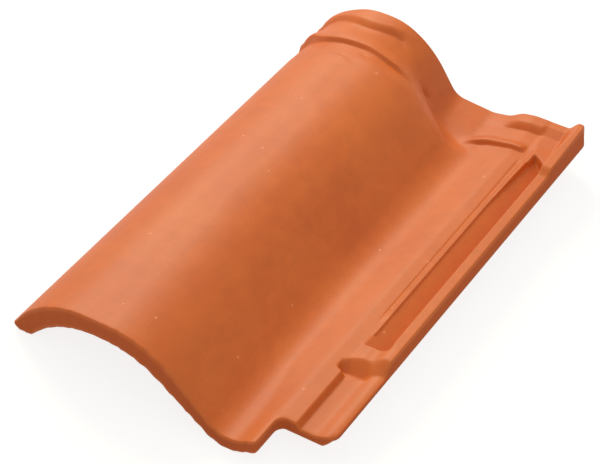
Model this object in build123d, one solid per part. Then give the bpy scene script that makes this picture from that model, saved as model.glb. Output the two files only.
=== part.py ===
from build123d import *
import math
import os

# Interlocking clay roof tile, pressed and fired as one piece: a barrel on the left, a pan beside
# it, and a side lock of channels and ribs on the right. All sizes are in millimetres.
# The tile is drawn square to its press: X runs across it from the barrel's outer foot, Y runs
# along it from the tail (the low, visible end) to the head, and Z is up. The last step lays the
# finished tile on a level floor.

# Overall sizes
TILE_LENGTH = 412.0
TILE_WIDTH = 248.5

# Barrel: outer skin, then inner skin
FLANK_LEFT = 51.0
FLANK_RIGHT = 45.0
CREST_Z = 38.8
BARREL_SPRING_X = 155.0
BARREL_RADIUS = 75.0
INNER_FLANK_LEFT = 45.0
INNER_FLANK_RIGHT = 38.0
INNER_CREST_Z = 23.3
INNER_SPRING_X = 135.1
INNER_RADIUS = 74.0
FOOT_Z = -4.5
FOOT_TOE_X = 6.0
FOOT_HEEL_X = 16.0
FOOT_RADIUS = 2.5

# Pan: top skin, then underside
PAN_X = 165.0
PAN_Z = -17.0
PAN_RADIUS = 20.0
PAN_SLOPE_UP = 27.7
SHOULDER_X = 203.0
SHOULDER_Z = -8.6
PAN_UNDER_Z = -28.0
PAN_UNDER_RADIUS = 25.0
UNDER_SLOPE_UP = 25.2
LOCK_UNDER_Z = -20.0

# Side lock: a low sill beside the pan, then the outer rib with its drafted side
SILL_X = 217.0
SILL_Z = -6.5
SILL_RUN = 4.0
RIB_INNER_X = 235.0
RIB_RUN = 3.0
RIB_OUTER_X = 245.8
RIB_Z = -2.0
RIB_RADIUS = 2.5
KEEL_X = 238.0
KEEL_Z = -13.0
KEEL_RADIUS = 4.0
EDGE_RADIUS = 1.0

# Neck: the part that slips under the next tile. Between these two distances from the tail, the
# barrel's right flank is drawn in and steepened, and the pan beside it slopes the other way.
NECK_Y = (350.0, 380.0)
NECK_STATIONS = 7
NECK_SHIFT = 31.0
NECK_TURN = 13.0
NECK_RADIUS_LOSS = 11.0
NECK_PAN_RISE = 0.6
NECK_PAN_SLOPE = 7.0
NECK_PAN_RADIUS_LOSS = 4.0
NECK_SLOPE_LOSS = 16.7
NECK_INNER_SHIFT = 25.0
NECK_INNER_TURN = 18.0
NECK_INNER_RADIUS_LOSS = 22.0
NECK_UNDER_RUN = 10.0
NECK_UNDER_RISE = 3.0
NECK_UNDER_SLOPE_LOSS = 6.0

# Weather beads across the neck, as (x, distance from the tail, height square to the skin). The
# first one bends back towards the tail where the barrel runs into the pan. Each profile is
# (run towards the head, share of the height), and its two ends dip under the skin by the toe.
FIRST_BEAD = [
    (3, 378, 2.6), (20, 377, 4.3), (64, 373, 4.3), (99, 368, 4.3), (112, 366, 3.0),
    (124, 362, 1.6), (140, 357, 1.6), (150, 358, 1.6), (160, 362, 1.6), (168, 368, 2.5),
    (180, 371, 3.2), (207, 370, 3.2), (212, 370, 0.2),
]
FIRST_BEAD_PROFILE = [(0, 0), (2.2, 1), (4, 1), (12, 0)]
SECOND_BEAD = [
    (3, 393, 2.4), (20, 393, 3.6), (55, 393, 4.5), (85, 393, 4.5), (130, 394, 0.7),
    (178, 395, 0.7), (198, 396, 4.3), (238, 396, 5.0),
]
SECOND_BEAD_PROFILE = [(0, 0), (9, 1), (25, 1)]
BEAD_SPACING = 6.0
BEAD_TOE = 0.6
BEAD_ROOT = 3.0
SLOPE_REACH = 0.5

# Plan: the notch at the tail, where the lock stops short of the pan, and the rounded corners
NOTCH_X = 204.0
NOTCH_Y = 30.0
NOTCH_RADIUS = 6.0
TAIL_CORNER_RADIUS = 2.0
LOCK_CORNER_RADIUS = 9.0
HEAD_CORNER_RADIUS = 5.0

# Lower shelf of the lock, open to the notch, wider just before the dam that closes it
SHELF_Z = -13.6
SHELF_INNER_X = 221.0
SHELF_OUTER_X = 233.0
SHELF_WALL_RUN = 3.0
SHELF_WIDE_X = 215.0
SHELF_WIDE_Y = 90.0
SHELF_RAMP = ((238.0, -7.5), (242.0, -4.2), (253.0, -6.2))
DAM_Y = 106.0

# Upper channel of the lock, wider at its lower end and cut off slantwise at the head
CHANNEL_Z = -15.0
CHANNEL_Y = 120.0
CHANNEL_INNER_X = 218.8
CHANNEL_OUTER_X = 236.0
CHANNEL_WIDE_X = 215.0
CHANNEL_WIDE_Y = 130.0
CHANNEL_BEND_Y = 300.0
CHANNEL_END_X = 222.5
CHANNEL_END_Y = 373.0
CHANNEL_END_OUTER_Y = 360.0
CHANNEL_END_DROP = 2.0
CHANNEL_STEP_RUN = 3.0
CHANNEL_LOWER_RADII = [4.0, 3.0]
CHANNEL_SLANT_RADIUS = 8.0
CHANNEL_TIP_RADIUS = 0.5
CHANNEL_BEND_RADIUS = 30.0
CHANNEL_STEP_RADIUS = 2.0
CHANNEL_WALL = 20.0
DRAFT = 6.0

# Raised end of the outer rib at the head
HIGH_RIB_Y = 345.0
HIGH_RIB_RUN = 9.0
HIGH_RIB_Z = 3.0
HEAD_CORNER_Z = 5.6
HIGH_RIB_INNER_X = 239.0
HIGH_RIB_OUTER_X = 247.9
HIGH_RIB_KEEL_GAP = 3.0

# Hanging nib under the head, which hooks over the batten
NIB_X = (196.0, 222.0)
NIB_Y = (384.0, 398.0)
NIB_Z = -29.5
NIB_SLOPE_RUN = 6.0
NIB_ROOT = 3.0

# How far cutters and roots reach past the surface they meet
REACH = 20.0


def line_at(x, z, slope):
    """A line of the section: a point on it, and its slope, given in degrees and kept in radians."""
    return x, z, math.radians(slope)


def meet(first, second):
    """The point where two lines of the section cross."""
    x1, z1, tilt1 = first
    x2, z2, tilt2 = second
    across = (x2 - x1) * math.sin(tilt2) - (z2 - z1) * math.cos(tilt2)
    reach = across / math.sin(tilt2 - tilt1)
    return x1 + reach * math.cos(tilt1), z1 + reach * math.sin(tilt1)


def smooth_share(start, end, place):
    """Runs smoothly from 0 at start to 1 at end."""
    part = min(max((place - start) / (end - start), 0), 1)
    return part * part * (3 - 2 * part)


def top_lines(neck):
    """Lines of the top skin of barrel and pan, left to right, and the radius between each two."""
    lines = [
        line_at(0, 0, FLANK_LEFT),
        line_at(0, CREST_Z, 0),
        line_at(BARREL_SPRING_X - NECK_SHIFT * neck, 0, -FLANK_RIGHT - NECK_TURN * neck),
        line_at(PAN_X, PAN_Z + NECK_PAN_RISE * neck, -NECK_PAN_SLOPE * neck),
        line_at(SHOULDER_X, SHOULDER_Z, PAN_SLOPE_UP - NECK_SLOPE_LOSS * neck),
        line_at(SHOULDER_X, SHOULDER_Z, 0),
    ]
    barrel = BARREL_RADIUS - NECK_RADIUS_LOSS * neck
    fold = PAN_RADIUS - NECK_PAN_RADIUS_LOSS * neck
    return lines, [barrel, barrel, fold, PAN_RADIUS, PAN_RADIUS]


def under_lines(neck, lifted):
    """Lines of the underside, left to right from the foot's heel, and the radii between them.

    lifted runs ahead of neck: it raises and slopes the pan's underside, so that the tile still
    rests on its body and not on its neck.
    """
    lines = [
        line_at(FOOT_HEEL_X, FOOT_Z, INNER_FLANK_LEFT),
        line_at(0, INNER_CREST_Z, 0),
        line_at(
            INNER_SPRING_X - NECK_INNER_SHIFT * neck, 0, -INNER_FLANK_RIGHT - NECK_INNER_TURN * neck
        ),
        line_at(PAN_X, PAN_UNDER_Z + NECK_UNDER_RISE * lifted, -NECK_PAN_SLOPE * lifted),
        line_at(SHOULDER_X, LOCK_UNDER_Z, UNDER_SLOPE_UP - NECK_UNDER_SLOPE_LOSS * neck),
        line_at(SHOULDER_X, LOCK_UNDER_Z, 0),
    ]
    inner = INNER_RADIUS - NECK_INNER_RADIUS_LOSS * neck
    return lines, [inner, inner, PAN_UNDER_RADIUS, PAN_UNDER_RADIUS, PAN_UNDER_RADIUS]


def rounded_meets(lines, radii):
    """Each corner where neighbouring lines meet, with its radius."""
    pairs = zip(lines, lines[1:], radii)
    return [(meet(before, after), radius) for before, after, radius in pairs]


def section_corners(y):
    """Corners of the section at y with the radius at each, round from the foot's outer edge."""
    neck = smooth_share(*NECK_Y, y)
    lifted = smooth_share(NECK_Y[0], NECK_Y[0] + NECK_UNDER_RUN, y)
    lock = [
        ((SILL_X, SHOULDER_Z), EDGE_RADIUS),
        ((SILL_X + SILL_RUN, SILL_Z), EDGE_RADIUS),
        ((RIB_INNER_X, SILL_Z), EDGE_RADIUS),
        ((RIB_INNER_X + RIB_RUN, RIB_Z), EDGE_RADIUS),
        ((RIB_OUTER_X, RIB_Z), RIB_RADIUS),
        ((TILE_WIDTH, KEEL_Z), KEEL_RADIUS),
        ((KEEL_X, LOCK_UNDER_Z), KEEL_RADIUS),
    ]
    foot = [((FOOT_HEEL_X, FOOT_Z), FOOT_RADIUS), ((FOOT_TOE_X, FOOT_Z), FOOT_RADIUS)]
    top = rounded_meets(*top_lines(neck))
    under = rounded_meets(*under_lines(neck, lifted))
    return [((0, 0), FOOT_RADIUS)] + top + lock + under[::-1] + foot


def section_face(y):
    """The closed section, standing across the tile at distance y from the tail."""
    corners = section_corners(y)
    plane = Plane(origin=(0, y, 0), x_dir=(1, 0, 0), z_dir=(0, -1, 0))
    outline = FilletPolyline(
        *[place for place, radius in corners],
        radius=[radius for place, radius in corners],
        close=True,
    )
    return plane * make_face(outline)


def fuse_all(pieces):
    """One solid of all the pieces."""
    whole = pieces[0]
    for piece in pieces[1:]:
        whole = whole + piece
    return whole


def blank():
    """The pressed blank: one section run from tail to head, drawn in smoothly at the neck."""
    start, end = NECK_Y
    stations = [0.0]
    for step in range(NECK_STATIONS):
        stations.append(start + (end - start) * step / (NECK_STATIONS - 1))
    stations.append(TILE_LENGTH)
    faces = [section_face(y) for y in stations]
    return fuse_all([loft(pair, ruled=True) for pair in zip(faces, faces[1:])])


def on_line(line, x):
    """Height of a line of the section over x."""
    return line[1] + (x - line[0]) * math.tan(line[2])


def top_height(x, y):
    """Height of the top skin of barrel and pan: its lines, with an arc of each radius between."""
    lines, radii = top_lines(smooth_share(*NECK_Y, y))
    height = on_line(lines[0], x)
    for before, after, radius in zip(lines, lines[1:], radii):
        corner_x, corner_z = meet(before, after)
        turn = after[2] - before[2]
        side = math.copysign(1, turn)
        reach = radius * math.tan(abs(turn) / 2)
        start_x = corner_x - reach * math.cos(before[2])
        start_z = corner_z - reach * math.sin(before[2])
        centre_x = start_x - side * radius * math.sin(before[2])
        centre_z = start_z + side * radius * math.cos(before[2])
        if x >= corner_x + reach * math.cos(after[2]):
            height = on_line(after, x)
        elif x > start_x:
            height = centre_z - side * math.sqrt(radius**2 - (x - centre_x) ** 2)
    return height


def bead_at(x, line):
    """Distance from the tail and height of a bead at x, straight between its stated places."""
    for (x1, y1, rise1), (x2, y2, rise2) in zip(line, line[1:]):
        if x <= x2:
            share = (x - x1) / (x2 - x1)
            return y1 + (y2 - y1) * share, rise1 + (rise2 - rise1) * share
    return line[-1][1:]


def bead_face(x, line, profile):
    """A slice of a bead at x: its profile, square to the skin, with its root under the skin."""
    start_y, rise = bead_at(x, line)
    climb = top_height(x + SLOPE_REACH, start_y) - top_height(x - SLOPE_REACH, start_y)
    upright = math.hypot(1, climb / (2 * SLOPE_REACH))
    skin = [(start_y + run, top_height(x, start_y + run)) for run, share in profile]
    heights = [rise * share - BEAD_TOE * (1 - share) for run, share in profile]
    crest = [(y, z + upright * height) for (y, z), height in zip(skin, heights)]
    bottom = [(y, z - upright * BEAD_ROOT) for y, z in reversed(skin)]
    return Pos(x, 0, 0) * (Plane.YZ * make_face(Polyline(*crest, *bottom, close=True)))


def bead(line, profile):
    """A weather bead, carried across the skin in straight steps short enough to look curved."""
    places = [line[0][0]]
    for (x1, y1, rise1), (x2, y2, rise2) in zip(line, line[1:]):
        steps = math.ceil((x2 - x1) / BEAD_SPACING)
        places += [x1 + (x2 - x1) * step / steps for step in range(1, steps + 1)]
    slices = [bead_face(x, line, profile) for x in places]
    return fuse_all([loft(pair, ruled=True) for pair in zip(slices, slices[1:])])


def plan_trim():
    """The tile's outline in plan, with the notch at the tail, as a tall prism."""
    outline = FilletPolyline(
        (-REACH, 0),
        (NOTCH_X, 0),
        (NOTCH_X, NOTCH_Y),
        (TILE_WIDTH, NOTCH_Y),
        (TILE_WIDTH, TILE_LENGTH),
        (-REACH, TILE_LENGTH),
        radius=[0, TAIL_CORNER_RADIUS, NOTCH_RADIUS, LOCK_CORNER_RADIUS, HEAD_CORNER_RADIUS, 0],
        close=True,
    )
    bottom = PAN_UNDER_Z - REACH
    return Pos(0, 0, bottom) * extrude(make_face(outline), CREST_Z + REACH - bottom)


def shelf_prism(inner_x, start_y):
    """A trough with the shelf's floor and outer ramp, from a distance from the tail to the dam."""
    outline = Polyline(
        (inner_x - SHELF_WALL_RUN, SHOULDER_Z),
        (inner_x, SHELF_Z),
        (SHELF_OUTER_X, SHELF_Z),
        *SHELF_RAMP,
        (SHELF_RAMP[-1][0], REACH),
        (inner_x - SHELF_WALL_RUN, REACH),
        close=True,
    )
    plane = Plane(origin=(0, start_y, 0), x_dir=(1, 0, 0), z_dir=(0, -1, 0))
    return extrude(plane * make_face(outline), DAM_Y - start_y, dir=(0, 1, 0))


def shelf_cut():
    """The lower shelf: a dished trough from the notch up to the dam, wider just before the dam."""
    return shelf_prism(SHELF_INNER_X, 0) + shelf_prism(SHELF_WIDE_X, SHELF_WIDE_Y)


def channel_outline(grow):
    """The channel in plan, with every wall moved out by the same amount."""
    lower_y = CHANNEL_Y - grow
    outer_x = CHANNEL_OUTER_X + grow
    inner_x = CHANNEL_INNER_X - grow
    wide_x = CHANNEL_WIDE_X - grow
    ends = [CHANNEL_SLANT_RADIUS, CHANNEL_TIP_RADIUS, CHANNEL_TIP_RADIUS, CHANNEL_BEND_RADIUS]
    return FilletPolyline(
        (wide_x, lower_y),
        (outer_x, lower_y),
        (outer_x, CHANNEL_END_OUTER_Y + grow),
        (CHANNEL_END_X + grow / 2, CHANNEL_END_Y + grow),
        (CHANNEL_END_X - grow, CHANNEL_END_Y - CHANNEL_END_DROP + grow / 2),
        (inner_x, CHANNEL_BEND_Y),
        (inner_x, CHANNEL_WIDE_Y + CHANNEL_STEP_RUN + grow),
        (wide_x, CHANNEL_WIDE_Y + grow),
        radius=CHANNEL_LOWER_RADII + ends + [CHANNEL_STEP_RADIUS, CHANNEL_STEP_RADIUS],
        close=True,
    )


def channel_cut():
    """The upper channel, with walls that lean out by the draft of the press."""
    spread = CHANNEL_WALL * math.tan(math.radians(DRAFT))
    floor = Pos(0, 0, CHANNEL_Z) * make_face(channel_outline(0))
    rim = Pos(0, 0, CHANNEL_Z + CHANNEL_WALL) * make_face(channel_outline(spread))
    return loft([floor, rim], ruled=True)


def high_rib():
    """The raised end of the outer rib, ramped up from the low rib and highest at the head corner."""
    side = Polyline(
        (HIGH_RIB_Y, RIB_Z),
        (HIGH_RIB_Y + HIGH_RIB_RUN, HIGH_RIB_Z),
        (TILE_LENGTH, HEAD_CORNER_Z),
        (TILE_LENGTH, KEEL_Z),
        (HIGH_RIB_Y, KEEL_Z),
        close=True,
    )
    across = FilletPolyline(
        (RIB_INNER_X, KEEL_Z),
        (RIB_INNER_X, SILL_Z),
        (HIGH_RIB_INNER_X, HEAD_CORNER_Z),
        (RIB_OUTER_X, HEAD_CORNER_Z),
        (HIGH_RIB_OUTER_X, KEEL_Z + HIGH_RIB_KEEL_GAP),
        radius=[0, 0, EDGE_RADIUS, RIB_RADIUS, 0],
        close=True,
    )
    plane = Plane(origin=(0, HIGH_RIB_Y, 0), x_dir=(1, 0, 0), z_dir=(0, -1, 0))
    along = extrude(plane * make_face(across), TILE_LENGTH - HIGH_RIB_Y, dir=(0, 1, 0))
    ramped = Pos(RIB_INNER_X, 0, 0) * extrude(Plane.YZ * make_face(side), TILE_WIDTH - RIB_INNER_X)
    return along & ramped


def nib():
    """The hanging nib: square to the batten on its tail side, sloped on its head side."""
    root_z = LOCK_UNDER_Z + NIB_ROOT
    outline = Polyline(
        (NIB_Y[0], root_z),
        (NIB_Y[0], NIB_Z),
        (NIB_Y[1] - NIB_SLOPE_RUN, NIB_Z),
        (NIB_Y[1], root_z),
        close=True,
    )
    return Pos(NIB_X[0], 0, 0) * extrude(Plane.YZ * make_face(outline), NIB_X[1] - NIB_X[0])


def fillet_centre(before, corner, after, radius):
    """Centre of the arc that rounds a corner of an outline."""
    start = Vector(*before) - Vector(*corner)
    finish = Vector(*after) - Vector(*corner)
    half = math.radians(start.get_angle(finish)) / 2
    middle = (start.normalized() + finish.normalized()).normalized()
    return Vector(*corner) + middle * (radius / math.sin(half))


def rest_angle():
    """Slope of the line that touches the foot's toe and the pan's underside, in degrees."""
    corners = section_corners(0.0)
    pan = corners[-6:-3]
    toe = (corners[-2], corners[-1], corners[0])
    toe_centre = fillet_centre(*[place for place, radius in toe], FOOT_RADIUS)
    pan_centre = fillet_centre(*[place for place, radius in reversed(pan)], PAN_UNDER_RADIUS)
    between = pan_centre - toe_centre
    slope = math.atan2(between.Y, between.X)
    return math.degrees(slope - math.asin((PAN_UNDER_RADIUS - FOOT_RADIUS) / between.length))


def tile():
    """The finished tile, laid on the floor on its foot and pan."""
    body = blank() + bead(FIRST_BEAD, FIRST_BEAD_PROFILE) + bead(SECOND_BEAD, SECOND_BEAD_PROFILE)
    body = (body + high_rib()) & plan_trim()
    body = body - shelf_cut() - channel_cut() + nib()
    body = Rot(0, rest_angle(), 0) * body
    box = body.bounding_box()
    return Pos(-box.center().X, -box.center().Y, -box.min.Z) * body


if __name__ == "__main__":
    os.makedirs("parts", exist_ok=True)
    clay_tile = tile()
    export_step(clay_tile, "parts/clay_tile.step")
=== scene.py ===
import bpy
import numpy as np
from mathutils import Matrix, Vector


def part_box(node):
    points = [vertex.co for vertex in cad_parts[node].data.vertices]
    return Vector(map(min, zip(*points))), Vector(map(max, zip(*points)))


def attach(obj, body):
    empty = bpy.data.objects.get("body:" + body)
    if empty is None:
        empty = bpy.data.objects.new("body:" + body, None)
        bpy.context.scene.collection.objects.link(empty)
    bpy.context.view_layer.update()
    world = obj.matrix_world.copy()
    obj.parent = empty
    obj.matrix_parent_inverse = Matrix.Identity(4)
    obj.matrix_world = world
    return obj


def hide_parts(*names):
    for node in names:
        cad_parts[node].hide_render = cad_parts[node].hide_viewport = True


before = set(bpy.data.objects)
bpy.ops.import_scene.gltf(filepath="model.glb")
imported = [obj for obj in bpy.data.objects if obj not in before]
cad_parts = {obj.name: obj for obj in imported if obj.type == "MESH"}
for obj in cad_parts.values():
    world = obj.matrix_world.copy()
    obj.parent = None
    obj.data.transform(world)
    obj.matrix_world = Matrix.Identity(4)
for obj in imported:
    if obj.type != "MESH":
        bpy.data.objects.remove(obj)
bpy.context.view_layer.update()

# The pressed clay roof tile, its floor, its light and its camera.
# The tile is worked out in millimetres in the frame of its press: X across it from the barrel's
# outer foot, Y along it from the tail to the head, Z up. to_row lays it on the floor in metres.

MM = 0.001
REST_TILT = 7.817

# Plan
LENGTH = 412.0
WIDTH = 247.8
LEFT_EDGE = 1.1
FOOT_REACH = 0.98
FOOT_TOP = 0.45
NOTCH_X = 204.0
NOTCH_Y = 30.0

# Barrel
FLANK_LEFT = 51.0
FLANK_RIGHT = 45.0
CREST_Z = 38.8
SPRING_X = 155.0
BARREL_RADIUS = 75.0
INNER_FLANK_LEFT = 45.0
INNER_FLANK_RIGHT = 38.0
INNER_CREST_Z = 23.3
INNER_SPRING_X = 135.1
INNER_RADIUS = 74.0
TAPER = 9.0
TAPER_Y = (0.0, 190.0)
FOOT_Z = -4.5
FOOT_HEEL_X = 16.0
FOOT_RADIUS = 2.5
FOOT_TOE_SLOPE = 36.9
EDGE_RADIUS = 1.3

# Pan
PAN_X = 165.0
PAN_Z = -17.0
PAN_RADIUS = 20.0
SHOULDER_X = 203.0
SHOULDER_Z = -8.6
SHOULDER_SLOPE = 27.7
PAN_UNDER_Z = -28.0
PAN_UNDER_RADIUS = 25.0
UNDER_SLOPE = 25.2
LOCK_UNDER_Z = -20.0

# How the pan's section changes from the tail on: its foot moves, it slopes up to the lock and
# its fold widens. Under it, the barrel's inner arcs and the pan's underside follow the taper
PAN_TAIL_Y = (0.0, 90.0)
PAN_DRIFT = 5.0
PAN_SLOPE = 8.0
SHOULDER_EASE = 10.7
FOLD_GROWTH = 6.0
FOLD_GROWTH_Y = (0.0, 140.0)
INNER_DRAWN_RADIUS = 6.0
UNDER_DRAWN_LIFT = 1.45

# Side lock
LEDGE_X = (213.0, 218.0)
LEDGE_HEAD_Y = (371.0, 385.0)
LEDGE_HEAD_RISE = 1.0
LEDGE_BEAD = 4.2
LEDGE_BEAD_Y = (396.0, 405.0)
SOFT_TAIL_Y = (118.0, 130.0)
SILL_RISE = 2.1
SILL_X = (217.0, 221.0)
SILL_SOFT = (3.0, 5.0)
SILL_Y = (84.0, 98.0)
RIB_X = (234.5, 238.5)
RIB_SOFT = (6.0, 4.0)
RIB_FLARE = (3.5, 3.0)
RIB_FLARE_Y = (358.0, 400.0)
RIB_Z = -2.0
LOW_RIB_Z = -8.2
HIGH_RIB_Z = 3.0
HEAD_CORNER_Z = 5.6
HEAD_STEP_Y = (344.0, 354.0)
HEAD_DROP = 1.2
HEAD_DROP_RUN = 5.0
KEEL_X = 238.0
KEEL_SLOPE = 33.7
KEEL_RADIUS = 4.0
RIB_OUTER_X = 245.8
SIDE_SLOPE = 4.07
HIGH_SIDE_SLOPE = 7.4
HIGH_SIDE_Y = (345.0, 354.0)
SHELF_SIDE_X = 243.0
SHELF_SIDE_SLOPE = 0.55
SIDE_BLEND = 3.0
SIDE_X = (246.0, 246.6)

# Shelf, its wider pocket and pit, and the dam that closes it
SHELF_Z = -13.6
SHELF_X = 220.5
SHELF_INNER_SLOPE = 1.7
SHELF_OUTER_RISE = 5.0
SHELF_OUTER_X = (228.0, 247.0)
POCKET_WIDER = 5.5
POCKET_Y = (89.0, 93.0)
PIT_DEPTH = 2.6
PIT_Y = (92.0, 94.5)
PIT_X = ((213.0, 218.0), (230.0, 237.0))
DAM_Y = 106.0
DAM_TOE_Y = 95.0
DAM_SLOPE = 0.9
RIB_STEP_Y = (DAM_Y - 7, DAM_Y + 5)
SHELF_PLAN = (209.0, DAM_Y + 8)
SHELF_BLEND = 1.2
SHELF_OUTER_BLEND = ((2.0, 228.0, 238.0),)
CLEAR_Z = 60.0

# Channel: a slanted end and shoulder, each a point and a direction, bound it at the head
CHANNEL_Z = -15.0
CHANNEL_X = (218.8, 236.0)
CHANNEL_Y = (120.0, 374.0)
CHANNEL_TAIL_WIDER = 4.0
CHANNEL_TAIL_Y = (129.0, 134.0)
CHANNEL_HEAD_NARROWER = 3.0
CHANNEL_HEAD_Y = (300.0, 357.0)
CHANNEL_NICK = 1.4
CHANNEL_NICK_Y = (358.0, 361.0)
CHANNEL_END = ((235.5, 360.5), (0.64, 0.77))
CHANNEL_SHOULDER = ((236.0, 350.0), (0.97, 0.24))
CHANNEL_CORNER = 4.0
CHANNEL_FLAT_X = 233.0
CHANNEL_RISE = 0.42
CHANNEL_WALL_SLOPE = 7.0
CHANNEL_END_BLEND = 2.0
CHANNEL_SHOULDER_BLEND = 1.5
CHANNEL_FLOOR_BLEND = 2.0
CHANNEL_FOOT_BLEND = 1.0
CHANNEL_EDGE_BLEND = 0.8

# Nib
NIB_X = 209.0
NIB_HALF_WIDTH = 13.0
NIB_Y = 384.0
NIB_BACK_Y = 392.0
NIB_Z = -29.5
NIB_DRAFT = 9.0
NIB_BACK_SLOPE = 2.2
NIB_TIP_BLEND = 1.0
NIB_ROOT_BLEND = 1.2

# Head
NECK_Y = (350.0, 380.0)
UNDER_LIFT_Y = (350.0, 360.0)
NECK_SHIFT = 31.0
NECK_TURN = 13.0
NECK_RADIUS_DROP = 11.0
NECK_PAN_LIFT = 0.6
NECK_FOLD_Y = (358.0, 385.0)
NECK_PAN_TURN = 15.0
NECK_SHOULDER_EASE = 6.0
NECK_FOLD_DROP = 10.0
UNDER_NECK_SHIFT = 25.0
UNDER_NECK_TURN = 18.0
UNDER_NECK_RADIUS_DROP = 16.0
UNDER_NECK_LIFT = 1.55
UNDER_NECK_PAN_TURN = 7.0
RIDGE_DEPTH = 2.0
RIDGE_Y = 354.0
RIDGE_REACH = 9.0
RIDGE_X = ((112.0, 124.0), (150.0, 166.0))

# Weather beads: heights, runs, and how each height changes over x as (amount, from, to)
FIRST_BEAD_RISE = 4.3
FIRST_BEAD_CHANGES = ((-1.5, 12.0, 30.0), (0.6, 150.0, 170.0))
FIRST_BEAD_STEP = 1.7
FIRST_BEAD_SLOWER = 3.0
FIRST_BEAD_SLOW_X = ((96.0, 122.0), (156.0, 174.0))
FIRST_BEAD_BACK = (2.5, 24.0)
FIRST_BEAD_SHORTER = 12.0
FIRST_BEAD_SHORT_X = (120.0, 160.0)
FIRST_BEAD_FADE = 0.97
FIRST_BEAD_FADE_X = ((96.0, 120.0), (158.0, 174.0))
FIRST_BEAD_END_X = (209.0, 214.0)
BEAD_DIP = 0.9
BEAD_DIP_BEFORE = (16.0, 3.0)
BEAD_DIP_EDGE = 0.5
BEAD_DIP_X = (90.0, 125.0)
SECOND_BEAD_RISE = 3.4
SECOND_BEAD_CHANGES = ((1.1, 30.0, 52.0), (-3.8, 76.0, 122.0), (4.8, 178.0, 194.0))
FOOT_BEAD_SHARE = 0.75
FOOT_BEAD_X = (0.0, 14.0)
STEEPEST = 1.8

# Crease and bead beside the channel: place, reach and height over x. The crest's crease: its
# depth, its start, how that leans and bows over x as (share, about), its edge, and its spans
SIDE_BEAD = (216.9, 1.1, 0.8)
SIDE_CREASE = (214.3, 0.9, 0.55)
SIDE_CREASE_Y = ((146.0, 158.0), (352.0, 366.0))
CREST_CREASE = 0.35
CREST_CREASE_Y = 351.0
CREST_CREASE_LEAN = (0.09, 58.0)
CREST_CREASE_BOW = (0.012, 52.0)
CREST_CREASE_EDGE = 0.6
CREST_CREASE_RUN = (2.0, 14.0)
CREST_CREASE_X = ((36.0, 42.0), (66.0, 76.0))

# Unevenness: height, four wave lengths divided by 2 pi, bend, and two shifts
SWELL = (0.22, (17.0, 47.0, 29.0, 61.0), 1.6, 0.0, 0.7)
RIPPLE = (0.06, (6.1, 23.0, 9.7, 19.0), 2.2, 1.0, 0.0)
UNEVEN_LEFT_X = 12.0
UNEVEN_RIGHT_X = (200.0, 212.0)

# Front lip: how far back it stands on average, and the spans over which it is ragged
LIP_BACK = 0.4
LIP_START_X = (4.0, 14.0)
LIP_END_X = (196.0, 203.0)
LIP_Y = (0.0, 3.5)

# Corners of the plan: place, inward directions, radius, and the depth to which grid lines bend
CORNERS = (
    ((NOTCH_X, 0), (-1, 1), 3.0, 3.0),
    ((NOTCH_X, NOTCH_Y), (1, -1), 6.5, 8.0),
    ((WIDTH, NOTCH_Y), (-1, 1), 9.0, 9.0),
    ((WIDTH, LENGTH), (-1, -1), 6.0, 6.0),
    ((LEFT_EDGE, 0), (1, 1), 2.0, 2.0),
    ((LEFT_EDGE, LENGTH), (1, -1), 2.0, 2.0),
)
LEAN_X = (LEFT_EDGE, 9.0)
WALL_STEPS = 5

# Chips of the head, each x, y, size and depth: a pit with its raised lip, and small crumbs
CHIPS = (
    (119.0, 380.0, 2.4, 5.5),
    (123.5, 377.5, 1.8, -2.6),
    (101.0, 367.0, 1.5, -0.9),
    (97.0, 371.0, 1.3, -0.8),
    (75.0, 360.0, 1.4, 0.8),
    (58.0, 352.5, 1.3, 0.9),
)

# Clay: its two firings and its cut faces, from 0 to 255. The firings are as they look in plain light; the
# cut faces are browner partly by their own colour and partly by painted shade
CLAY_DARK = (206, 93, 10)
CLAY_PALE = (214, 104, 22)
CLAY_CUT_AND_SHADE = (200, 92, 36)
CLAY_SPECK = (240, 165, 125)
CLAY_ROUGHNESS = 0.56
CLAY_SHINE = 0.66
CUT_ROUGHNESS = 0.9
FIRING_SCALE = 11.0
FIRING_SPAN = (0.34, 0.68)
MOTTLE_SCALE = 85.0
STREAK_SCALE = 9.0
STREAK_STRETCH = (22.0, 1.0, 22.0)
MOTTLE_TONE = (0.96, 1.04)
STREAK_TONE = (0.975, 1.02)
GRAIN_TONE = (0.95, 1.05)
GRAIN_SCALE = 1100.0
GRAIN_BUMP = 0.0003
GRAIN_BUMP_STRENGTH = 0.3
SPECK_SCALE = 45.0
SPECK_REACH = (0.03, 0.055)
SPECK_SHARE = 0.5

# Light: the key comes low from behind on the left, as the photograph's shadows show
KEY_TOWARDS = (-0.62, 0.49, 0.61)
KEY_DISTANCE = 2.6
KEY_SIZE = 0.9
KEY_POWER = 38.0
KEY_COLOUR = (1.0, 1.0, 0.82)
WORLD_COLOUR = (1.0, 0.96, 0.84)
WORLD_STRENGTH = 0.66
FLOOR_TONE = 0.55
FLOOR_GLOW = 0.6
FLOOR_GLOW_STRENGTH = 1.4
FLOOR_REACH = 3.0


def ease(start, end, value):
    """Runs smoothly from 0 at start to 1 at end: three times the square less twice the cube."""
    part = np.clip((value - start) / (end - start), 0.0, 1.0)
    return part * part * (3.0 - 2.0 * part)


def ramp(start, end, value):
    """Runs in a straight line from 0 at start to 1 at end, a little rounded at both ends."""
    part = (value - start) / (end - start)
    return lower_of(higher_of(part, 0 * part, 0.12), 1 + 0 * part, 0.12)


def lower_of(first, second, blend):
    """The lower of two heights, with the meeting rounded over about the given blend."""
    part = np.clip(0.5 + 0.5 * (second - first) / blend, 0.0, 1.0)
    return second * (1.0 - part) + first * part - blend * part * (1.0 - part)


def higher_of(first, second, blend):
    """The higher of two heights, with the meeting rounded over about the given blend."""
    return -lower_of(-first, -second, blend)


def band(value, rise, fall):
    """1 between two spans, rising over the first and falling over the second, 0 outside them."""
    return ease(*rise, value) * (1 - ease(*fall, value))


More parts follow.
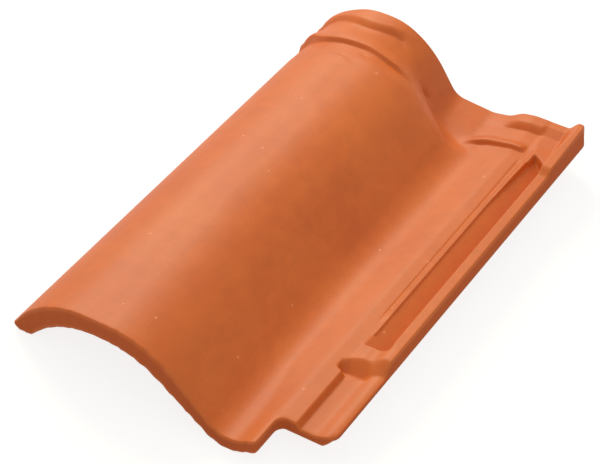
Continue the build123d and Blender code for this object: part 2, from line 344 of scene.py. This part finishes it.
def bell(value, middle, reach):
    """A bell curve: e to the power of minus the square of the distance over the reach."""
    return np.exp(-(((value - middle) / reach) ** 2))


def changed(start, changes, value):
    """A value that starts as given and changes by each amount while value runs over its span."""
    made = start + 0 * value
    for amount, begin, end in changes:
        made = made + amount * ease(begin, end, value)
    return made


def line(x, z, slope):
    """A straight line of the section: a point on it, and its slope in degrees."""
    return x, z, np.radians(slope)


def meet(first, second):
    """The point where two lines of the section cross."""
    x1, z1, tilt1 = first
    x2, z2, tilt2 = second
    reach = ((x2 - x1) * np.sin(tilt2) - (z2 - z1) * np.cos(tilt2)) / np.sin(tilt2 - tilt1)
    return x1 + reach * np.cos(tilt1), z1 + reach * np.sin(tilt1)


def skin(x, lines, radii):
    """Height over x of a chain of straight lines, each pair joined by an arc of its radius.

    The arc touches both lines at the radius times the tangent of half the turn from their meeting.
    """
    height = lines[0][1] + (x - lines[0][0]) * np.tan(lines[0][2])
    for before, after, radius in zip(lines, lines[1:], radii):
        corner_x, corner_z = meet(before, after)
        turn = after[2] - before[2]
        side = np.sign(turn)
        reach = radius * np.tan(np.abs(turn) / 2)
        start_x = corner_x - reach * np.cos(before[2])
        start_z = corner_z - reach * np.sin(before[2])
        end_x = corner_x + reach * np.cos(after[2])
        centre_x = start_x - side * radius * np.sin(before[2])
        centre_z = start_z + side * radius * np.cos(before[2])
        arc = centre_z - side * np.sqrt(np.maximum(radius**2 - (x - centre_x) ** 2, 0.0))
        straight = after[1] + (x - after[0]) * np.tan(after[2])
        height = np.where(x < start_x, height, np.where(x < end_x, arc, straight))
    return height


def neck_share(y):
    """0 on the body of the tile and 1 on the neck that slips under the next one."""
    return ease(*NECK_Y, y)


def taper(y):
    """How far the barrel's flank beside the pan has drawn in along the body, towards the head."""
    return TAPER * ease(*TAPER_Y, y)


def first_bead_line(x):
    """Distance from the tail of the first bead's front step: it bends back where barrel meets pan."""
    across = [0, 8, 16, 24, 34, 53, 74, 86, 99, 112, 124, 132, 140, 150, 160, 168, 180, 212, 250]
    along = [380, 377, 374, 370, 368, 367, 367, 365, 364, 363, 361, 359, 357, 358, 362, 368, 371, 370, 368]
    return np.interp(x, across, along)


def second_bead_line(x):
    """Distance from the tail where the second bead starts to rise, and the length of its rise."""
    across = [0, 15, 30, 42, 52, 60, 70, 80, 88, 100, 130, 150, 190, 250]
    start = [405, 403, 400, 396, 393, 392, 393, 396, 396, 384, 384, 393, 396, 396]
    run = [5, 5, 5, 6, 7, 7, 7, 6, 8, 26, 26, 8, 7, 7]
    return np.interp(x, across, start), np.interp(x, across, run)


def beads(x, y):
    """Rise of the two weather beads and the dip before the first, square to the skin.

    The first is a quick step up and a long slope down. The second has a crisp foot and a round
    shoulder, a quarter wave of the sine, and fades where the barrel runs into the pan.
    """
    step = first_bead_line(x)
    slower = FIRST_BEAD_SLOWER * band(x, *FIRST_BEAD_SLOW_X)
    front = ramp(step, step + FIRST_BEAD_STEP + slower, y)
    back_start, back_end = FIRST_BEAD_BACK
    shorter = FIRST_BEAD_SHORTER * ease(*FIRST_BEAD_SHORT_X, x)
    first = front * (1 - ease(step + back_start, step + back_end - shorter, y))
    first *= changed(FIRST_BEAD_RISE, FIRST_BEAD_CHANGES, x)
    first *= (1 - ease(*FIRST_BEAD_END_X, x)) * (1 - FIRST_BEAD_FADE * band(x, *FIRST_BEAD_FADE_X))
    dip_start, dip_end = BEAD_DIP_BEFORE
    edge = (step - BEAD_DIP_EDGE, step + BEAD_DIP_EDGE)
    dip = BEAD_DIP * band(y, (step - dip_start, step - dip_end), edge)
    start, run = second_bead_line(x)
    shoulder = np.sin(np.pi / 2 * np.clip((y - start) / run, 0, 1))
    rise = changed(SECOND_BEAD_RISE, SECOND_BEAD_CHANGES, x)
    return first + shoulder * rise - dip * (1 - ease(*BEAD_DIP_X, x))


def pressed_details(x, y):
    """Small forms of the press on the top skin.

    A crease and a round bead follow the channel's inner edge, each a bell over x, and a faint
    crease crosses the crest where the neck begins.
    """
    along = band(y, *SIDE_CREASE_Y)
    middle, reach, height = SIDE_BEAD
    bead = height * bell(x, middle, reach)
    middle, reach, depth = SIDE_CREASE
    crease = depth * bell(x, middle, reach)
    lean, lean_x = CREST_CREASE_LEAN
    bow, bow_x = CREST_CREASE_BOW
    start = CREST_CREASE_Y - lean * (x - lean_x) - bow * (x - bow_x) ** 2
    run_start, run_end = CREST_CREASE_RUN
    edge = (start - CREST_CREASE_EDGE, start + CREST_CREASE_EDGE)
    step = band(y, edge, (start + run_start, start + run_end))
    faint = CREST_CREASE * band(x, *CREST_CREASE_X) * step
    chips = 0 * x
    for chip_x, chip_y, size, depth in CHIPS:
        chips = chips + depth * np.exp(-(((x - chip_x) ** 2 + (y - chip_y) ** 2) / size**2))
    return (bead - crease) * along - faint - chips


def body_top(x, y):
    """Top skin of barrel and pan: the section's lines and arcs, plus the beads square to the skin.

    The flank beside the pan draws in along the body by the taper and once more at the neck. A
    shallow bell over y takes the sharpness off the ridge where it turns into the neck.
    """
    neck = neck_share(y)
    level = 0 * y
    gentle = ease(*PAN_TAIL_Y, y)
    late = ease(*NECK_FOLD_Y, y)
    barrel_radius = BARREL_RADIUS - NECK_RADIUS_DROP * neck
    spring_x = SPRING_X - taper(y) - (NECK_SHIFT - TAPER) * neck
    pan_slope = PAN_SLOPE * gentle - NECK_PAN_TURN * late
    shoulder_slope = SHOULDER_SLOPE - SHOULDER_EASE * gentle - NECK_SHOULDER_EASE * late
    lines = [
        line(level, level, FLANK_LEFT + level),
        line(level, CREST_Z + level, level),
        line(spring_x, level, -(FLANK_RIGHT + NECK_TURN * neck)),
        line(PAN_X + PAN_DRIFT * gentle, PAN_Z + NECK_PAN_LIFT * neck, pan_slope),
        line(SHOULDER_X + level, SHOULDER_Z + level, shoulder_slope),
        line(SHOULDER_X + level, SHOULDER_Z + level, level),
    ]
    fold_radius = PAN_RADIUS + FOLD_GROWTH * ease(*FOLD_GROWTH_Y, y) - NECK_FOLD_DROP * late
    radii = [barrel_radius, barrel_radius, fold_radius, PAN_RADIUS, PAN_RADIUS]
    height = skin(x, lines, radii)
    slope = np.gradient(height, x[0], axis=1)
    square = np.sqrt(1 + np.clip(slope, -STEEPEST, STEEPEST) ** 2)
    ridge = RIDGE_DEPTH * bell(y, RIDGE_Y, RIDGE_REACH) * band(x, *RIDGE_X)
    share = FOOT_BEAD_SHARE + (1 - FOOT_BEAD_SHARE) * ease(*FOOT_BEAD_X, x)
    return height - ridge + beads(x, y) * square * share


def rib_top(y):
    """Height of the outer rib: low beside the shelf, then level, then ramped up to the head corner."""
    low = LOW_RIB_Z + (RIB_Z - LOW_RIB_Z) * ease(*RIB_STEP_Y, y)
    high = (HIGH_RIB_Z - RIB_Z) * ease(*HEAD_STEP_Y, y)
    ramp_run = LENGTH - HEAD_STEP_Y[1]
    corner = (HEAD_CORNER_Z - HIGH_RIB_Z) * np.clip((y - HEAD_STEP_Y[1]) / ramp_run, 0, 1)
    drop = HEAD_DROP * np.clip((y - (LENGTH - HEAD_DROP_RUN)) / HEAD_DROP_RUN, 0, 1) ** 2
    return low + high + corner - drop


def lock_top(x, y):
    """Top of the side lock before its hollows: ledge, low sill, and outer rib."""
    head = ease(*LEDGE_HEAD_Y, y)
    soft = 1 - ease(*SOFT_TAIL_Y, y)
    sill_share = ease(SILL_X[0] - SILL_SOFT[0] * soft, SILL_X[1] + SILL_SOFT[1] * soft, x)
    sill = SILL_RISE * sill_share * (1 - head) * ease(*SILL_Y, y)
    ledge = SHOULDER_Z + sill + LEDGE_HEAD_RISE * head
    ledge = ledge + LEDGE_BEAD * ramp(*LEDGE_BEAD_Y, y)
    flare = ease(*RIB_FLARE_Y, y)
    rib_start = RIB_X[0] - RIB_FLARE[0] * flare - RIB_SOFT[0] * soft
    rib_end = RIB_X[1] + RIB_FLARE[1] * flare + RIB_SOFT[1] * soft
    height = ledge + (rib_top(y) - ledge) * ease(rib_start, rib_end, x)
    raised = ease(*HIGH_SIDE_Y, y)
    low_side = RIB_Z - SIDE_SLOPE * (x - RIB_OUTER_X)
    shelf_side = LOW_RIB_Z - SHELF_SIDE_SLOPE * (x - SHELF_SIDE_X)
    low_side = low_side + (shelf_side - low_side) * (1 - ease(*RIB_STEP_Y, y))
    high_side = HEAD_CORNER_Z - HIGH_SIDE_SLOPE * (x - RIB_OUTER_X)
    return lower_of(height, low_side + (high_side - low_side) * raised, SIDE_BLEND)


def past(x, y, mark):
    """Distance past a slanted line in plan, from its point and its direction."""
    (mark_x, mark_y), (across, along) = mark
    return (x - mark_x) * across + (y - mark_y) * along


def channel_depth(x, y):
    """The upper channel: a floor that rises to its inner side, and drafted walls round its plan.

    The walls rise by the distance outside the plan times their slope. The plan is a rectangle cut
    by the slanted end and shoulder, all blended, and its inner side shifts a little on its way.
    """
    inner_x, outer_x = CHANNEL_X
    head_start, head_end = CHANNEL_HEAD_Y
    head_share = np.clip((y - head_start) / (head_end - head_start), 0, 1)
    inner_x = inner_x - CHANNEL_TAIL_WIDER * (1 - ease(*CHANNEL_TAIL_Y, y))
    inner_x = inner_x + CHANNEL_HEAD_NARROWER * head_share + CHANNEL_NICK * ease(*CHANNEL_NICK_Y, y)
    across = np.maximum(inner_x - x, x - outer_x)
    along = np.maximum(CHANNEL_Y[0] - y, y - CHANNEL_Y[1])
    sides = higher_of(across, along, CHANNEL_CORNER)
    outside = higher_of(sides, past(x, y, CHANNEL_END), CHANNEL_END_BLEND)
    outside = higher_of(outside, past(x, y, CHANNEL_SHOULDER), CHANNEL_SHOULDER_BLEND)
    floor = CHANNEL_Z + CHANNEL_RISE * higher_of(CHANNEL_FLAT_X - x, 0 * x, CHANNEL_FLOOR_BLEND)
    return floor + CHANNEL_WALL_SLOPE * higher_of(outside, 0 * outside, CHANNEL_FOOT_BLEND)


def shelf_depth(x, y):
    """The lower shelf: a dished trough open at the tail, closed by the dam, wider just before it."""
    inner_x = SHELF_X - POCKET_WIDER * ease(*POCKET_Y, y)
    inner = SHELF_INNER_SLOPE * np.maximum(inner_x - x, 0)
    outer = SHELF_OUTER_RISE * ease(*SHELF_OUTER_X, x)
    dam = DAM_SLOPE * np.maximum(y - DAM_TOE_Y, 0)
    pit = PIT_DEPTH * ease(*PIT_Y, y) * band(x, *PIT_X)
    return SHELF_Z - pit + higher_of(higher_of(inner, outer, SHELF_BLEND), dam, SHELF_BLEND)


def waves(x, y, height, lengths, bend, inner_shift, shift):
    """Height times a sine over x, bent by a sine over y, times a sine over y that leans with x."""
    across, sway, along, lean = lengths
    bent = np.sin(x / across + bend * np.sin(y / sway + inner_shift))
    return height * bent * np.sin(y / along + x / lean + shift)


def uneven(x, y):
    """Small unevenness of the pressed skin: a slow swell and a shorter ripple, up to 0.3 mm."""
    return waves(x, y, *SWELL) + waves(x, y, *RIPPLE)


def top_skin(x, y):
    """Whole top skin: barrel and pan run into the lock, less the channel and the shelf."""
    share = ease(*LEDGE_X, x)
    height = body_top(x, y) * (1 - share) + lock_top(x, y) * share + pressed_details(x, y)
    height = height + uneven(x, y) * band(x, (LEFT_EDGE, UNEVEN_LEFT_X), UNEVEN_RIGHT_X)
    height = lower_of(height, channel_depth(x, y), CHANNEL_EDGE_BLEND)
    by_shelf = (x > SHELF_PLAN[0]) & (y < SHELF_PLAN[1])
    shelf = np.where(by_shelf, shelf_depth(x, y), CLEAR_Z)
    return lower_of(height, shelf, changed(SHELF_BLEND, SHELF_OUTER_BLEND, x))


def under_skin(x, y):
    """Underside: foot, hollow barrel, pan and lock floor, with the nib that hooks over the batten."""
    neck = neck_share(y)
    lifted = ease(*UNDER_LIFT_Y, y)
    level = 0 * y
    drawn = taper(y) / TAPER
    inner_radius = INNER_RADIUS - INNER_DRAWN_RADIUS * drawn - UNDER_NECK_RADIUS_DROP * neck
    spring_x = INNER_SPRING_X - taper(y) - (UNDER_NECK_SHIFT - TAPER) * neck
    pan_z = PAN_UNDER_Z + UNDER_DRAWN_LIFT * drawn + UNDER_NECK_LIFT * lifted
    lines = [
        line(level, level, -FOOT_TOE_SLOPE + level),
        line(level, FOOT_Z + level, level),
        line(FOOT_HEEL_X + level, FOOT_Z + level, INNER_FLANK_LEFT + level),
        line(level, INNER_CREST_Z + level, level),
        line(spring_x, level, -(INNER_FLANK_RIGHT + UNDER_NECK_TURN * neck)),
        line(PAN_X + level, pan_z, -UNDER_NECK_PAN_TURN * lifted),
        line(SHOULDER_X + level, LOCK_UNDER_Z + level, UNDER_SLOPE - NECK_SHOULDER_EASE * neck),
        line(SHOULDER_X + level, LOCK_UNDER_Z + level, level),
        line(KEEL_X + level, LOCK_UNDER_Z + level, KEEL_SLOPE + level),
    ]
    radii = [
        FOOT_RADIUS,
        FOOT_RADIUS,
        inner_radius,
        inner_radius,
        PAN_UNDER_RADIUS,
        PAN_UNDER_RADIUS,
        PAN_UNDER_RADIUS,
        KEEL_RADIUS,
    ]
    height = skin(x, lines, radii)
    nib = NIB_Z + NIB_DRAFT * np.maximum(np.abs(x - NIB_X) - NIB_HALF_WIDTH, NIB_Y - y)
    nib = np.maximum(nib, NIB_Z + NIB_BACK_SLOPE * (y - NIB_BACK_Y))
    nib = higher_of(nib, NIB_Z + 0 * nib, NIB_TIP_BLEND)
    return lower_of(height, nib, NIB_ROOT_BLEND)


def ragged_lip(x, y):
    """How far the front lip stands back: two sines over x, the first bent, up to 0.8 mm."""
    back = LIP_BACK + 0.25 * np.sin(0.71 * x + 2 * np.sin(0.13 * x)) + 0.15 * np.sin(1.9 * x + 0.6)
    return back * ease(*LIP_START_X, x) * (1 - ease(*LIP_Y, y)) * (1 - ease(*LIP_END_X, x))


def grid_line(*spans):
    """Places of the grid lines: spans of (start, end, step), each cut into equal steps."""
    cuts = [np.linspace(a, b, max(1, round((b - a) / s)), endpoint=False) for a, b, s in spans]
    return np.append(np.concatenate(cuts), spans[-1][1])


def edge_distance(x, y):
    """Distance in plan from the rim, except the barrel's foot: the least over the straight edges."""
    notch = np.maximum(NOTCH_X - x, y - NOTCH_Y)
    return np.minimum(np.minimum(WIDTH - x, np.minimum(y, LENGTH - y)), notch)


def round_corner(x, y, corner, inward, radius, depth):
    """Bends the square grid lines near a corner of the plan into arcs.

    The L-shaped line at depth m from the corner gets an arc whose radius runs from the given one
    at the edge to nothing at the given depth; each point keeps its share of the way round.
    """
    across = (x - corner[0]) * inward[0]
    along = (y - corner[1]) * inward[1]
    level = np.minimum(across, along)
    reach = np.maximum(across, along) - level
    arc = radius * np.clip(1 - np.abs(level) / depth, 0, 1)
    inside = (reach < arc) & (arc > 0)
    safe = np.where(inside, arc, 1.0)
    angle = np.radians(45) * (1 - reach / safe)
    near = level + safe - safe * np.cos(angle)
    far = level + safe - safe * np.sin(angle)
    flat = across <= along
    new_across = np.where(flat, near, far)
    new_along = np.where(flat, far, near)
    new_x = np.where(inside, corner[0] + inward[0] * new_across, x)
    new_y = np.where(inside, corner[1] + inward[1] * new_along, y)
    return new_x, new_y


def to_row(points):
    """Turns press millimetres into row metres, before the shift that seats the tile."""
    tilt = np.radians(REST_TILT)
    x, y, z = points[..., 0], points[..., 1], points[..., 2]
    turned = [x * np.cos(tilt) - z * np.sin(tilt), y, x * np.sin(tilt) + z * np.cos(tilt)]
    return np.stack(turned, -1) * MM


def tile_surface():
    """Both skins on one grid, with the rim rounded over, and a wall that joins them round the plan.

    The third array is each point's share of cut face, which the clay paints browner with painted shade: 1
    on that wall and on the lock's outer side.
    """
    xs = grid_line(
        (LEFT_EDGE, 2.6, 0.3), (2.6, 6, 0.85), (6, 20, 2), (20, 150, 2.6), (150, 203, 2.4),
        (203, 205, 0.5), (205, 212, 0.9), (212, 222, 0.5), (222, 233, 1.0), (233, 240, 0.5),
        (240, 245, 0.9), (245, WIDTH, 0.35),
    )
    ys = grid_line(
        (0, 1.2, 0.3), (1.2, 29, 2.6), (29, 31, 0.5), (31, 86, 2.9), (86, 95, 0.7),
        (95, 105, 1.2), (105, 109, 0.4), (109, 118, 1.2), (118, 122, 0.5), (122, 136, 1.0),
        (136, 340, 4.2), (340, 349, 1.2), (349, 410.8, 0.72), (410.8, LENGTH, 0.3),
    )
    x, y = np.meshgrid(xs, ys)
    rim = edge_distance(x, y)
    top = top_skin(x, y)
    under = under_skin(x, y)
    part = np.clip(1 - rim / EDGE_RADIUS, 0, 1)
    fall = EDGE_RADIUS * (1 - np.sqrt(np.clip(1 - part**2, 0, 1)))
    top = top - fall
    under = under + fall
    lean = np.tan(np.radians(REST_TILT)) * np.maximum(top - FOOT_TOP, 0)
    x = x + lean * (1 - ease(*LEAN_X, x))
    y = y + ragged_lip(x, y)
    for corner, inward, radius, depth in CORNERS:
        x, y = round_corner(x, y, corner, inward, radius, depth)
    rows, cols = x.shape
    count = rows * cols
    number = np.arange(count).reshape(rows, cols)
    points = [np.stack([x, y, top], -1).reshape(-1, 3), np.stack([x, y, under], -1).reshape(-1, 3)]
    cell_x = (xs[:-1] + xs[1:]) / 2
    cell_y = (ys[:-1] + ys[1:]) / 2
    keep = ~((cell_x[None, :] > NOTCH_X) & (cell_y[:, None] < NOTCH_Y))
    corners = [number[:-1, :-1], number[:-1, 1:], number[1:, 1:], number[1:, :-1]]
    quads = np.stack([c[keep] for c in corners], -1)
    faces = [quads, quads[:, ::-1] + count]
    notch_col = int(np.argmin(np.abs(xs - NOTCH_X)))
    notch_row = int(np.argmin(np.abs(ys - NOTCH_Y)))
    ring = np.concatenate([
        number[0, :notch_col],
        number[:notch_row, notch_col],
        number[notch_row, notch_col:-1],
        number[notch_row:-1, -1],
        number[-1, :0:-1],
        number[:0:-1, 0],
    ])
    upper = points[0][ring]
    lower = points[1][ring]
    rings = [ring]
    made = 2 * count
    for step in range(1, WALL_STEPS):
        share = step / WALL_STEPS
        points.append(upper * (1 - share) + lower * share)
        rings.append(made + np.arange(len(ring)))
        made += len(ring)
    rings.append(ring + count)
    for above, below in zip(rings, rings[1:]):
        faces.append(np.stack([above, below, np.roll(below, -1), np.roll(above, -1)], -1))
    points = np.concatenate(points)
    faces = np.concatenate(faces)
    on_rim = np.zeros(len(points))
    on_rim[2 * count:] = 1.0
    on_rim[:count] = ease(SIDE_X[0], SIDE_X[1], x.ravel())
    used = np.unique(faces)
    place = np.full(len(points), -1)
    place[used] = np.arange(len(used))
    return points[used], place[faces], on_rim[used]


def mesh_object(name, points, faces):
    """A smooth mesh object from metres and quads."""
    mesh = bpy.data.meshes.new(name)
    mesh.vertices.add(len(points))
    mesh.vertices.foreach_set("co", points.astype(np.float32).ravel())
    mesh.loops.add(faces.size)
    mesh.loops.foreach_set("vertex_index", faces.astype(np.int32).ravel())
    mesh.polygons.add(len(faces))
    mesh.polygons.foreach_set("loop_start", np.arange(0, faces.size, 4, dtype=np.int32))
    mesh.update(calc_edges=True)
    mesh.validate()
    mesh.shade_smooth()
    made = bpy.data.objects.new(name, mesh)
    bpy.context.scene.collection.objects.link(made)
    return made


def node(tree, kind, inputs=None, **settings):
    """A shader node with its settings and its fixed inputs."""
    made = tree.nodes.new(kind)
    for key, value in settings.items():
        setattr(made, key, value)
    for key, value in (inputs or {}).items():
        made.inputs[key].default_value = value
    return made


def srgb(red, green, blue):
    """A colour written as it looks, from 0 to 255, made linear."""
    parts = np.array([red, green, blue]) / 255
    linear = np.where(parts <= 0.04045, parts / 12.92, ((parts + 0.055) / 1.055) ** 2.4)
    return (*[float(part) for part in linear], 1.0)


def join(tree, source, target):
    """Links two sockets, each given as (node, socket name or number)."""
    tree.links.new(source[0].outputs[source[1]], target[0].inputs[target[1]])


def noise(tree, place, scale, detail, stretch=(1.0, 1.0, 1.0)):
    """A noise on Object coordinates, finer across the tile than along it where it is stretched."""
    turn = node(tree, "ShaderNodeMapping", {"Scale": stretch})
    made = node(tree, "ShaderNodeTexNoise", {"Scale": scale, "Detail": detail, "Roughness": 0.6})
    join(tree, (place, "Object"), (turn, "Vector"))
    join(tree, (turn, "Vector"), (made, "Vector"))
    return made


def tone(tree, source, low, high, span=(0.3, 0.7)):
    """Maps a noise to a factor that runs from low to high."""
    made = node(tree, "ShaderNodeMapRange", {
        "From Min": span[0], "From Max": span[1], "To Min": low, "To Max": high,
    })
    join(tree, (source, "Fac"), (made, "Value"))
    return made


def fired_clay():
    """Matt terracotta.

    The colour is a broad noise between two firings, times a mottle, the streaks of the press and
    a fine grain, with a few pale specks in Voronoi cells. The cut faces of the rim are browner,
    partly their own colour and partly painted shade of faces turned from the key, and rougher,
    by the mesh's own "rim".
    """
    material = bpy.data.materials.new("fired_clay")
    material.use_nodes = True
    tree = material.node_tree
    tree.nodes.clear()
    out = node(tree, "ShaderNodeOutputMaterial")
    shader = node(
        tree, "ShaderNodeBsdfPrincipled", {"Roughness": CLAY_ROUGHNESS, "Specular IOR Level": CLAY_SHINE}
    )
    place = node(tree, "ShaderNodeTexCoord")
    firing = node(tree, "ShaderNodeValToRGB")
    firing.color_ramp.elements[0].position = FIRING_SPAN[0]
    firing.color_ramp.elements[0].color = srgb(*CLAY_DARK)
    firing.color_ramp.elements[1].position = FIRING_SPAN[1]
    firing.color_ramp.elements[1].color = srgb(*CLAY_PALE)
    join(tree, (noise(tree, place, FIRING_SCALE, 4.0), "Fac"), (firing, "Fac"))
    colour = firing
    grain = noise(tree, place, GRAIN_SCALE, 3.0)
    streaks = noise(tree, place, STREAK_SCALE, 5.0, STREAK_STRETCH)
    mottle = noise(tree, place, MOTTLE_SCALE, 3.0)
    for source, tones in ((mottle, MOTTLE_TONE), (streaks, STREAK_TONE), (grain, GRAIN_TONE)):
        scaled = node(tree, "ShaderNodeVectorMath", operation="SCALE")
        join(tree, (colour, 0), (scaled, 0))
        join(tree, (tone(tree, source, *tones), "Result"), (scaled, "Scale"))
        colour = scaled
    cells = node(tree, "ShaderNodeTexVoronoi", {"Scale": SPECK_SCALE})
    join(tree, (place, "Object"), (cells, "Vector"))
    near = node(tree, "ShaderNodeMapRange", {
        "From Min": SPECK_REACH[0], "From Max": SPECK_REACH[1], "To Min": SPECK_SHARE, "To Max": 0.0,
    })
    join(tree, (cells, "Distance"), (near, "Value"))
    speck = node(tree, "ShaderNodeMix", {7: srgb(*CLAY_SPECK)}, data_type="RGBA")
    join(tree, (near, "Result"), (speck, 0))
    join(tree, (colour, 0), (speck, 6))
    rim = node(tree, "ShaderNodeAttribute", attribute_name="rim")
    # Cut faces: partly their own browner colour, partly painted shade where they turn from the key
    cut = node(tree, "ShaderNodeMix", {7: srgb(*CLAY_CUT_AND_SHADE)}, data_type="RGBA")
    join(tree, (rim, "Fac"), (cut, 0))
    join(tree, (speck, 2), (cut, 6))
    join(tree, (cut, 2), (shader, "Base Color"))
    rough = node(tree, "ShaderNodeMapRange", {"To Min": CLAY_ROUGHNESS, "To Max": CUT_ROUGHNESS})
    join(tree, (rim, "Fac"), (rough, "Value"))
    join(tree, (rough, "Result"), (shader, "Roughness"))
    bump = node(tree, "ShaderNodeBump", {"Strength": GRAIN_BUMP_STRENGTH, "Distance": GRAIN_BUMP})
    join(tree, (grain, "Fac"), (bump, "Height"))
    join(tree, (bump, "Normal"), (shader, "Normal"))
    join(tree, (shader, "BSDF"), (out, "Surface"))
    return material


def white_floor():
    """A pale floor that stays white to the camera and keeps the tile's soft shadow."""
    material = bpy.data.materials.new("floor_white")
    material.use_nodes = True
    tree = material.node_tree
    tree.nodes.clear()
    out = node(tree, "ShaderNodeOutputMaterial")
    matt = node(tree, "ShaderNodeBsdfDiffuse", {"Color": (FLOOR_TONE, FLOOR_TONE, FLOOR_TONE, 1)})
    glow = node(tree, "ShaderNodeEmission", {"Color": (1, 1, 1, 1), "Strength": FLOOR_GLOW_STRENGTH})
    seen = node(tree, "ShaderNodeLightPath")
    glossy = node(tree, "ShaderNodeMath", operation="ADD")
    every = node(tree, "ShaderNodeMath", operation="ADD", use_clamp=True)
    share = node(tree, "ShaderNodeMath", {1: FLOOR_GLOW}, operation="MULTIPLY")
    mixed = node(tree, "ShaderNodeMixShader")
    join(tree, (seen, "Is Camera Ray"), (glossy, 0))
    join(tree, (seen, "Is Glossy Ray"), (glossy, 1))
    join(tree, (glossy, 0), (every, 0))
    join(tree, (seen, "Is Transmission Ray"), (every, 1))
    join(tree, (every, 0), (share, 0))
    join(tree, (share, 0), (mixed, 0))
    join(tree, (matt, 0), (mixed, 1))
    join(tree, (glow, 0), (mixed, 2))
    join(tree, (mixed, 0), (out, "Surface"))
    square = np.array([[-1, -1, 0], [1, -1, 0], [1, 1, 0], [-1, 1, 0]])
    floor = mesh_object("floor", square * FLOOR_REACH, np.array([[0, 1, 2, 3]]))
    floor.data.materials.append(material)


def area_lamp(name, place, target, size, power, colour):
    """A square soft lamp at a place, turned to face the target."""
    data = bpy.data.lights.new(name, "AREA")
    data.shape = "SQUARE"
    data.size = size
    data.energy = power
    data.color = colour
    lamp = bpy.data.objects.new(name, data)
    lamp.location = place
    aim = Vector(target) - Vector(place)
    lamp.rotation_euler = aim.to_track_quat("-Z", "Y").to_euler()
    bpy.context.scene.collection.objects.link(lamp)


# The tile
points, faces, on_rim = tile_surface()
points = to_row(points)
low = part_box("clay_tile")[0]
SEAT = np.array([low[0] - FOOT_REACH * MM, -LENGTH / 2 * MM, low[2] - points[:, 2].min()])
tile = mesh_object("clay_tile_body", points + SEAT, faces)
tile.data.attributes.new("rim", "FLOAT", "POINT").data.foreach_set("value", on_rim)
tile.data.materials.append(fired_clay())
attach(tile, "root")
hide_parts("clay_tile")

# The camera stands where the photograph was taken from, in the frame of the press
CAMERA_PLACE = (747.639, -812.426, 1027.948)
CAMERA_RIGHT = (0.84784, 0.53025, 0.0)
CAMERA_UP = (-0.34788, 0.55623, 0.75471)
FOCAL_PIXELS = 2117.83
IMAGE_WIDTH = 600.0
SENSOR = 36.0

camera_data = bpy.data.cameras.new("camera")
camera_data.sensor_width = SENSOR
camera_data.lens = SENSOR * FOCAL_PIXELS / IMAGE_WIDTH
camera = bpy.data.objects.new("camera", camera_data)
bpy.context.scene.collection.objects.link(camera)
right = Vector(to_row(np.array(CAMERA_RIGHT))).normalized()
up = Vector(to_row(np.array(CAMERA_UP))).normalized()
place = Vector(to_row(np.array(CAMERA_PLACE)) + SEAT)
turn = Matrix((right, up, right.cross(up))).transposed()
camera.matrix_world = Matrix.Translation(place) @ turn.to_4x4()
bpy.context.scene.camera = camera

# Light and floor
white_floor()
key_place = [KEY_DISTANCE * part for part in KEY_TOWARDS]
area_lamp("key", key_place, (0, 0, 0), KEY_SIZE, KEY_POWER, KEY_COLOUR)
world = bpy.data.worlds.new("world")
world.use_nodes = True
world.node_tree.nodes["Background"].inputs["Color"].default_value = (*WORLD_COLOUR, 1)
world.node_tree.nodes["Background"].inputs["Strength"].default_value = WORLD_STRENGTH
bpy.context.scene.world = world
bpy.context.scene.view_settings.view_transform = "Standard"
